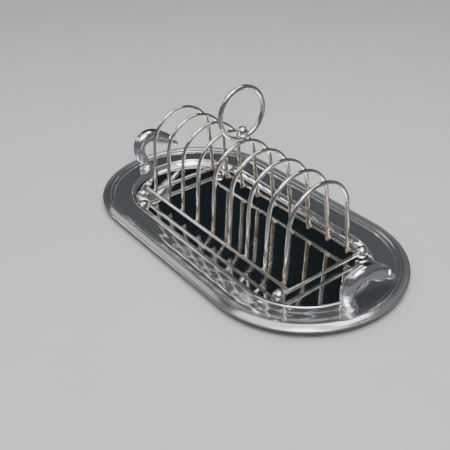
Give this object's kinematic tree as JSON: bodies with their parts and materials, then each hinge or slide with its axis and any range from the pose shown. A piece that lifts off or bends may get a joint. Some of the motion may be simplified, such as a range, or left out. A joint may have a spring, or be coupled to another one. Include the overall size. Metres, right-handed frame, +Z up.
{
  "type": "toast rack",
  "caption": "Wire toast rack of inverted-U bars with ball feet and a carrying ring, standing loose in the well of an oblong plated tray with cast bird-neck handles.",
  "frame": {"origin": "centre of the tray's outline, on the surface it stands on", "axes": "+X along the rack and the tray's length, +Y across it towards the handles' heads, +Z up"},
  "size_m": [0.3124, 0.1644, 0.1281],
  "materials": {
    "bar_wire": "worn bright silver plate with warm wear",
    "rail_wire": "worn bright silver plate",
    "ball_casting": "polished silver plate",
    "handle_casting": "polished silver plate",
    "tray_sheet": "silver plate, mirror well and satin border with fine scratches",
    "rim_moulding": "polished silver plate"
  },
  "bodies": {
    "tray": {"tray_pan": "tray_sheet", "tray_rim": "rim_moulding", "handle_left": "handle_casting", "handle_right": "handle_casting"},
    "rack": {"bar_1": "bar_wire", "bar_2": "bar_wire", "bar_3": "bar_wire", "bar_4": "bar_wire", "bar_5": "bar_wire", "bar_6": "bar_wire", "bar_7": "bar_wire", "bar_8": "bar_wire", "bar_9": "bar_wire", "long_rail_front": "rail_wire", "long_rail_back": "rail_wire", "end_rail_left": "rail_wire", "end_rail_right": "rail_wire", "ball_foot_front_left": "ball_casting", "ball_foot_front_right": "ball_casting", "ball_foot_back_left": "ball_casting", "ball_foot_back_right": "ball_casting", "carrying_ring": "bar_wire", "ring_finial": "ball_casting"}
  },
  "joints": [
    {"name": "rack_lift", "type": "slide", "parent": "tray", "child": "rack", "axis": [0, 0, 1], "range_m": [0, 0.06]}
  ]
}
